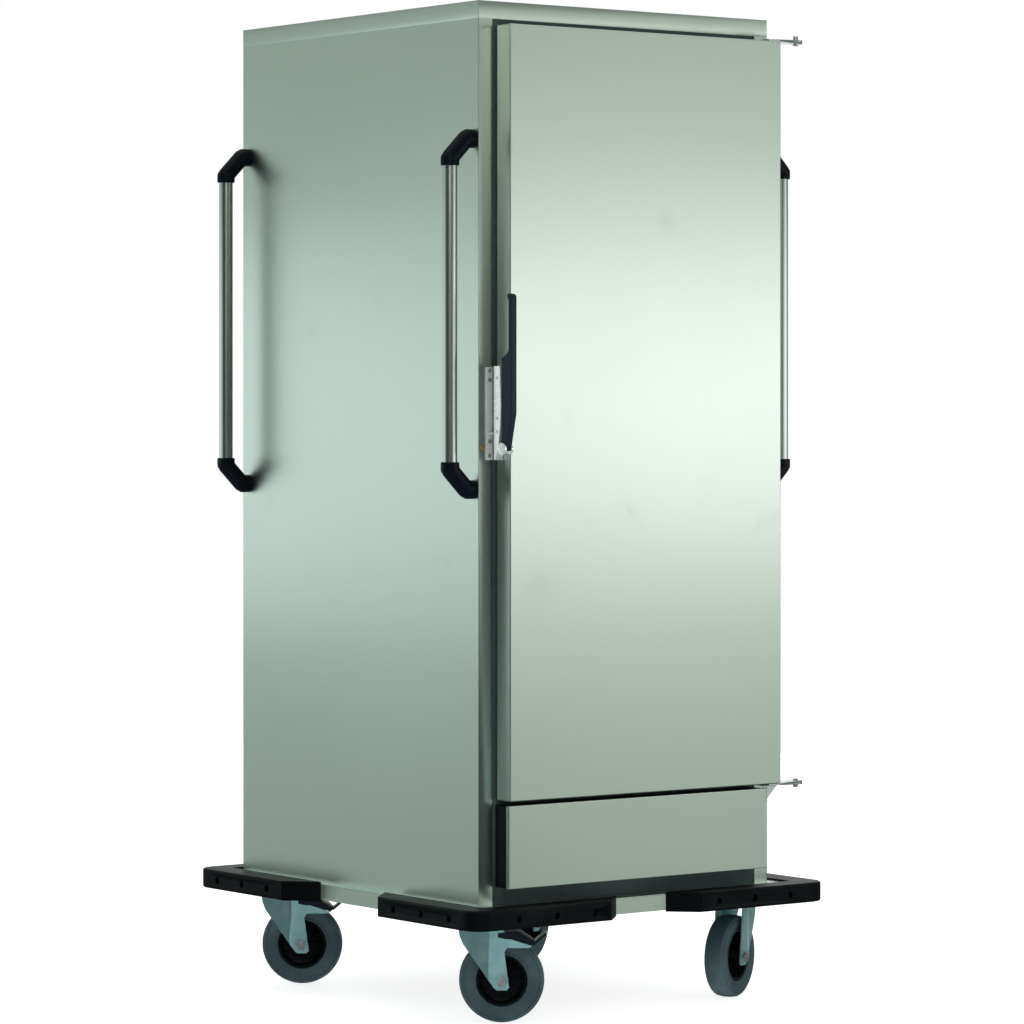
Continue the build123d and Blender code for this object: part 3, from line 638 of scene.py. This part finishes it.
def makeWheels():
    for name in castorNames:
        joint = joints[f"roll_{name}"]
        centre, axis = joint["pos_m"], joint["axis"]
        for word, profile, slotName in (("tyre", tyreProfile(centre[2]), "grey_rubber"),
                                        ("hub", hubProfile(), "hub_black")):
            bm = bmesh.new()
            lathe(bm, profile, centre, axis, wheel["steps"])
            mesh = meshFrom(bm, f"{word}_{name}", 35)
            place(f"{word}_{name}", mesh, finishes[slotName], f"wheel_{name}", slotName,
                  (f"castor_{word}_{name}",))


makeWheels()
print("wheels turned")

repeaterInputs = {
    "Points": "Geometry",
    "Item": "Object",
    "Finish": "Material",
    "Seed": "Int",
    "Spin": "Float",
}


def buildRepeater():
    # one item at every point: its Z along "axis", its X along "side", then turned a little at random
    tree = bpy.data.node_groups.new("itemAtPoints", "GeometryNodeTree")
    for name, kind in repeaterInputs.items():
        tree.interface.new_socket(name, in_out="INPUT", socket_type="NodeSocket" + kind)
    tree.interface.new_socket("Result", in_out="OUTPUT", socket_type="NodeSocketGeometry")
    graph = Graph(tree)
    given = {name: graph.add("NodeGroupInput", {}, {}, name) for name in repeaterInputs}
    vector = {"data_type": "FLOAT_VECTOR"}
    axis, side = (graph.add("GeometryNodeInputNamedAttribute", vector, {"Name": word}, "Attribute")
                  for word in ("axis", "side"))
    upright = graph.add("FunctionNodeAlignRotationToVector", {"axis": "Z"}, {"Vector": axis})
    squared = graph.add("FunctionNodeAlignRotationToVector", {"axis": "X", "pivot_axis": "Z"},
                        {"Rotation": upright, "Vector": side})
    item = graph.add("GeometryNodeObjectInfo", {}, {"Object": given["Item"], "As Instance": True}, "Geometry")
    copies = graph.add("GeometryNodeInstanceOnPoints", {},
                       {"Points": given["Points"], "Instance": item, "Rotation": squared})
    turn = graph.add("FunctionNodeRandomValue", {"data_type": "FLOAT"},
                     {2: 0.0, 3: given["Spin"], "Seed": given["Seed"]}, 1)
    euler = graph.add("ShaderNodeCombineXYZ", {}, {"Z": turn})
    spin = graph.add("FunctionNodeEulerToRotation", {}, {"Euler": euler})
    turned = graph.add("GeometryNodeRotateInstances", {}, {"Instances": copies, "Rotation": spin})
    whole = graph.add("GeometryNodeRealizeInstances", {}, {"Geometry": turned})
    coated = graph.add("GeometryNodeSetMaterial", {}, {"Geometry": whole, "Material": given["Finish"]})
    graph.add("NodeGroupOutput", {}, {"Result": coated})
    return tree


repeater = buildRepeater()
repeatSeed = 7
repeatSharp = 30


def repeat(name, item, spots, slotName, body, replaced=(), spin=0.0):
    # spots: point, axis and side of every copy of the item
    points = bpy.data.meshes.new(name + "Points")
    points.from_pydata([spot[0] for spot in spots], [], [])
    for k, word in ((1, "axis"), (2, "side")):
        field = points.attributes.new(word, "FLOAT_VECTOR", "POINT")
        field.data.foreach_set("vector", [value for spot in spots for value in spot[k]])
    host = bpy.data.objects.new(name + "Host", points)
    model = bpy.data.objects.new(name + "Item", item)
    for thing in (host, model):
        bpy.context.scene.collection.objects.link(thing)
    modifier = host.modifiers.new("repeat", "NODES")
    modifier.node_group = repeater
    values = {"Item": model, "Finish": finishes[slotName], "Seed": repeatSeed, "Spin": spin}
    for socket in repeater.interface.items_tree:
        if socket.name in values:
            modifier[socket.identifier] = values[socket.name]
    graph = bpy.context.evaluated_depsgraph_get()
    mesh = bpy.data.meshes.new_from_object(host.evaluated_get(graph), depsgraph=graph)
    mesh.name = name
    mesh.shade_smooth()
    mesh.set_sharp_from_angle(angle=math.radians(repeatSharp))
    for thing in (host, model):
        bpy.data.objects.remove(thing)
    place(name, mesh, finishes[slotName], body, slotName, replaced)


def islands(node):
    # the box of each separate solid in a CAD node
    bm = bmesh.new()
    bm.from_mesh(nodes[node].data)
    bmesh.ops.remove_doubles(bm, verts=bm.verts, dist=weldDistance)
    left = set(bm.verts)
    boxes = []
    while left:
        edge, found = [left.pop()], []
        while edge:
            vert = edge.pop()
            found.append(vert.co.copy())
            others = {link.other_vert(vert) for link in vert.link_edges} & left
            left -= others
            edge.extend(others)
        corners = [tuple(pick(point[k] for point in found) for k in range(3)) for pick in (min, max)]
        boxes.append(tuple(Vector(corner) for corner in corners))
    bm.free()
    return sorted(boxes, key=lambda box: tuple(box[0]))


screws = {
    "bumperHead": (0.0050, 0.0040, 0.0030),
    "bumperLength": 0.040,
    "keeperHead": (0.0040, 0.0017, 0.0020),
    "boltHead": 0.0070,
    "boltShank": 0.0050,
    "rivetHead": (0.0032, 0.0014, 0.0015),
    "rivetHeights": (1.105, 1.130, 1.205),
    "capEdge": 0.12,
    "capSocket": 0.45,
    "capSocketDeep": 0.6,
    "hexEdge": 0.10,
    "hexFace": 0.90,
}


def capScrew(name, headRadius, headHigh, shankRadius, length):
    # origin at the middle of the head's face, head towards +Z, round socket
    edge = screws["capEdge"] * headRadius
    hollow = screws["capSocket"] * headRadius
    bottom = -screws["capSocketDeep"] * headHigh
    bm = bmesh.new()
    body = [(-length, 0), (-length, shankRadius), (-headHigh, shankRadius), (-headHigh, headRadius),
            (-edge, headRadius), (0, headRadius - edge), (0, hollow), (bottom, hollow), (bottom, 0)]
    lathe(bm, body, (0, 0, 0), (0, 0, 1), 24)
    return meshFrom(bm, name, 30)


def hexBolt(name, across, headHigh, shankRadius, length):
    # origin at the middle of the head's face, head towards +Z, nut at the far end
    corner = across / math.sqrt(3)
    bm = bmesh.new()
    for low, high in ((-headHigh, 0), (-length, headHigh - length)):
        edge = screws["hexEdge"] * headHigh
        body = [(low, 0), (low, corner), (high - edge, corner), (high, corner * screws["hexFace"]), (high, 0)]
        lathe(bm, body, (0, 0, 0), (0, 0, 1), 6)
    far = headHigh - length
    shank = [(far, 0), (far, shankRadius), (-headHigh, shankRadius), (-headHigh, 0)]
    lathe(bm, shank, (0, 0, 0), (0, 0, 1), 24)
    return meshFrom(bm, name, 25)


def domeRivet(name, radius, dome, shank):
    # origin at the middle of the head's underside, a dome towards +Z and a short shank below
    turns = [math.radians(90 * step / 5) for step in range(6)]
    body = [(-shank, 0), (-shank, radius / 2), (0, radius / 2)]
    body += [(dome * math.sin(turn), radius * math.cos(turn)) for turn in turns]
    bm = bmesh.new()
    lathe(bm, body, (0, 0, 0), (0, 0, 1), 24)
    return meshFrom(bm, name, 40)


def screwSpots(node, towards):
    # middle of the head's face, outward axis and a side vector for every screw of a node
    for low, high in islands(node):
        size, middle = high - low, (low + high) / 2
        k = max(range(3), key=lambda n: size[n])
        axis = Vector((0, 0, 0))
        axis[k] = math.copysign(1, towards(middle)[k])
        yield middle + axis * size[k] / 2, axis, axis.orthogonal()


def makeScrews():
    # screws and bolts stand where the CAD has them, turned at random; the rivets are added
    item = capScrew("bumperScrew", *screws["bumperHead"], screws["bumperLength"])
    spots = list(screwSpots("bumper_screws", lambda middle: middle))
    repeat("bumperScrews", item, spots, "black_screws", "cabinet", ("bumper_screws",), math.pi)
    low, high = islands("keeper_screws")[0]
    item = capScrew("keeperScrew", *screws["keeperHead"], high.y - low.y)
    spots = list(screwSpots("keeper_screws", lambda middle: Vector((0, -1, 0))))
    repeat("keeperScrews", item, spots, slotOf["keeper_screws"], "cabinet", ("keeper_screws",), math.pi)
    low, high = islands("castor_bolts")[0]
    across = min(high.x - low.x, high.y - low.y)
    item = hexBolt("castorBolt", across, screws["boltHead"], screws["boltShank"], high.z - low.z)
    spots = [(Vector((*((low + high) / 2).xy, low.z)), Vector((0, 0, -1)), Vector((1, 0, 0)))
             for low, high in islands("castor_bolts")]
    repeat("castorBolts", item, spots, slotOf["castor_bolts"], "cabinet", ("castor_bolts",), math.pi)
    low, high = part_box("latch_housing")
    item = domeRivet("housingRivet", *screws["rivetHead"])
    spots = [(Vector((low.x, (low.y + high.y) / 2, height)), Vector((-1, 0, 0)), Vector((0, 0, 1)))
             for height in screws["rivetHeights"]]
    repeat("housingRivets", item, spots, slotOf["latch_housing"], bodyOf("latch_housing"))


makeScrews()

ribs = {
    "hubCount": 12,
    "hubFrom": 0.0146,
    "hubTo": 0.0418,
    "hubHalf": 0.0150,
    "hubThick": 0.0022,
    "pedalCount": 6,
    "pedalFirst": (0.080, 0.0018),
    "pedalLast": (0.102, -0.0133),
    "pedalHalf": 0.021,
    "pedalLow": -0.0010,
    "pedalHigh": 0.0012,
    "pedalThick": 0.0018,
}


def barMesh(name, x, y, z):
    # a box from its three ranges
    bm = bmesh.new()
    outline = [(x[0], y[0]), (x[1], y[0]), (x[1], y[1]), (x[0], y[1])]
    prism(bm, outline, z[0], z[1], lambda across, up, level: (across, up, level))
    return meshFrom(bm, name, 30)


def makeRibs():
    # spokes round each hub and grip ribs across each pedal
    half, thick = ribs["hubHalf"], ribs["hubThick"] / 2
    for name in castorNames:
        item = barMesh("hubRib", (-half, half), (-thick, thick), (ribs["hubFrom"], ribs["hubTo"]))
        swivel, along, across = castorFrame(name)
        hub = Vector(joints[f"roll_{name}"]["pos_m"])
        up = Vector((0, 0, 1))
        turns = [2 * math.pi * k / ribs["hubCount"] for k in range(ribs["hubCount"])]
        spots = [(hub, along * math.cos(turn) + up * math.sin(turn), across) for turn in turns]
        repeat(f"hubRibs_{name}", item, spots, "hub_black", f"wheel_{name}")
    half, thick = ribs["pedalHalf"], ribs["pedalThick"] / 2
    for name in brakedNames:
        item = barMesh("pedalRib", (-half, half), (-thick, thick), (ribs["pedalLow"], ribs["pedalHigh"]))
        swivel, along, across = castorFrame(name)
        pivot = joints[f"brake_{name}"]["pos_m"][2]
        up = Vector((0, 0, 1))
        first, last = (swivel + along * forward + up * (pivot + high)
                       for forward, high in (ribs["pedalFirst"], ribs["pedalLast"]))
        normal = across.cross(last - first).normalized()
        if normal.z < 0:
            normal = -normal
        count = ribs["pedalCount"]
        spots = [(first.lerp(last, k / (count - 1)), normal, across) for k in range(count)]
        repeat(f"pedalRibs_{name}", item, spots, "pedal_black", bodyOf(f"brake_pedal_{name}"))


makeRibs()

# the two outlines are in millimetres: ahead of the swivel and above the pedal's pivot
pedal = {
    "cheekIn": 0.0306,
    "cheekOut": 0.0335,
    "treadIn": 0.0240,
    "cheek": [(38, 1.5), (56, 4.2), (76, 4.5), (92, -6.4), (101, -12.4), (99, -18.0), (74, -9.5),
              (52, -9.0), (38, -6)],
    "tread": [(56, 4.2), (76, 4.5), (92, -6.4), (92, -10.0), (75, 0.6), (56, 0.4)],
}


def makePedalCheeks():
    # the moulded treads reach over the fork's arms, with a cheek down each side
    for name in brakedNames:
        swivel, along, across = castorFrame(name)
        pivot = joints[f"brake_{name}"]["pos_m"][2]
        bm = bmesh.new()
        for out in (-1, 1):
            for word, low in (("cheek", pedal["cheekIn"]), ("tread", pedal["treadIn"])):
                outline = [(forward / 1000, high / 1000) for forward, high in pedal[word]]
                prism(bm, outline, out * low, out * pedal["cheekOut"],
                      lambda forward, high, aside: swivel + along * forward + across * aside
                      + Vector((0, 0, pivot + high)))
        mesh = meshFrom(bm, f"pedalCheeks_{name}", 30)
        place(mesh.name, mesh, finishes["pedal_black"], bodyOf(f"brake_pedal_{name}"), "pedal_black")


makePedalCheeks()
print("screws, bolts and ribs repeated")

floor = {
    "size": 60.0,
    "light": colour(0.86, 0.86, 0.86),
    "dark": colour(0.84, 0.84, 0.84),
    "roughness": 0.75,
    "glow": 0.80,
}


def makeFloor():
    # a pale, softly glowing floor that keeps out of reflections
    bm = bmesh.new()
    half = floor["size"] / 2
    corners = ((-half, -half), (half, -half), (half, half), (-half, half))
    bm.faces.new([bm.verts.new((x, y, 0)) for x, y in corners])
    mesh = bpy.data.meshes.new("studioFloor")
    bm.to_mesh(mesh)
    bm.free()
    surface = Surface(bpy.data.materials.new("paleFloor"))
    cloud = surface.noise(0.8, 3.0)
    tone = surface.blend(floor["dark"], floor["light"], cloud)
    mesh.materials.append(surface.finish({
        "Base Color": tone,
        "Roughness": floor["roughness"],
        "Emission Color": colour(1, 1, 1),
        "Emission Strength": floor["glow"],
    }))
    item = bpy.data.objects.new("studioFloor", mesh)
    bpy.context.scene.collection.objects.link(item)
    item.visible_glossy = False


room = {
    "low": colour(0.085, 0.102, 0.092),
    "high": colour(0.50, 0.55, 0.52),
    "darkSide": colour(0.015, 0.022, 0.028),
    "darkHeading": (-0.60, -0.80, 0.0),
    "heightBand": (0.15, 1.0),
    "darkBand": (0.1, 0.9),
}


def makeWorld():
    # the camera sees plain white; the room's own light is softer, and dim on one side
    world = bpy.data.worlds.new("studioRoom")
    bpy.context.scene.world = world
    surface = Surface(world)
    heading = surface.add("ShaderNodeTexCoord", {}, {}, "Generated")
    height = surface.add("ShaderNodeSeparateXYZ", {}, {"Vector": heading}, "Z")
    toDark = surface.add("ShaderNodeVectorMath", {"operation": "DOT_PRODUCT"},
                         {0: heading, 1: room["darkHeading"]}, "Value")
    tone = surface.blend(room["low"], room["high"], height.band(*room["heightBand"]))
    tone = surface.blend(tone, room["darkSide"], toDark.band(*room["darkBand"]))
    soft = surface.add("ShaderNodeBackground", {}, {"Color": tone, "Strength": 1.0})
    white = surface.add("ShaderNodeBackground", {}, {"Color": colour(1, 1, 1), "Strength": 1.0})
    straight = surface.add("ShaderNodeLightPath", {}, {}, "Is Camera Ray")
    seen = surface.add("ShaderNodeMixShader", {}, {0: straight, 1: soft, 2: white})
    surface.add("ShaderNodeOutputWorld", {}, {"Surface": seen})


lights = {
    "doorCard": {"at": (1.25, -2.05, 1.19), "aim": (0.0, -0.43, 1.19), "size": (3.2, 0.74), "power": 8.6,
                 "tint": (1.0, 0.92, 0.96)},
    "doorWash": {"at": (4.2, -5.5, 1.3), "aim": (0.0, -0.43, 1.1), "size": (3.0, 5.0), "power": 33,
                 "tint": (0.94, 1.0, 0.92)},
    "sideCard": {"at": (-1.55, 1.50, 1.10), "aim": (-0.35, 0.02, 1.10), "size": (3.2, 0.90), "power": 4.9,
                 "tint": (0.87, 0.97, 1.0)},
    "sideWash": {"at": (-3.7, 4.7, 1.3), "aim": (-0.35, 0.02, 1.1), "size": (4.4, 5.0), "power": 27,
                 "tint": (0.89, 1.0, 0.94)},
    "lowCard": {"at": (-1.50, -2.05, 0.11), "aim": (-0.25, -0.35, 0.12), "size": (1.8, 0.16), "power": 2.0,
                "tint": (0.86, 1.0, 1.0)},
    "rearWash": {"at": (4.2, 3.7, 1.5), "aim": (0.2, 0.2, 1.1), "size": (5.0, 3.6), "power": 60,
                 "tint": (0.97, 1.0, 0.95)},
    "overhead": {"at": (0.4, 0.2, 4.6), "aim": (0, 0, 0.9), "size": (4.0, 4.0), "power": 40,
                 "tint": (1, 1, 1)},
    "topLeft": {"at": (-2.45, -3.25, 2.50), "aim": (-0.3, -0.4, 1.95), "size": (1.4, 0.6), "power": 13,
                "tint": (1.0, 0.98, 0.88)},
}


def makeLights():
    # area lights aimed at the cabinet; the cards shape the bright patches in the steel
    for name, look in lights.items():
        data = bpy.data.lights.new(name, "AREA")
        data.shape = "RECTANGLE"
        data.size, data.size_y = look["size"]
        data.energy = look["power"]
        data.color = look["tint"]
        item = bpy.data.objects.new(name, data)
        bpy.context.scene.collection.objects.link(item)
        item.location = look["at"]
        aim = Vector(look["aim"]) - Vector(look["at"])
        item.rotation_euler = aim.to_track_quat("-Z", "Y").to_euler()
        item.visible_camera = False


camera = {
    "at": (-5.006, -6.731, 1.155),
    "heading": -36.70,
    "lens": 149.0,
    "sensor": 36.0,
    "shift": -0.1048,
    "farthest": 200.0,
}


def makeCamera():
    # level camera, shifted down, so upright edges stay parallel
    data = bpy.data.cameras.new("photoCamera")
    data.lens = camera["lens"]
    data.sensor_width = camera["sensor"]
    data.shift_y = camera["shift"]
    data.clip_end = camera["farthest"]
    item = bpy.data.objects.new("photoCamera", data)
    item.location = camera["at"]
    item.rotation_euler = (math.radians(90), 0, math.radians(camera["heading"]))
    bpy.context.scene.collection.objects.link(item)
    bpy.context.scene.camera = item


makeFloor()
makeWorld()
makeLights()
makeCamera()
bpy.context.scene.view_settings.view_transform = "Standard"
print("studio ready")
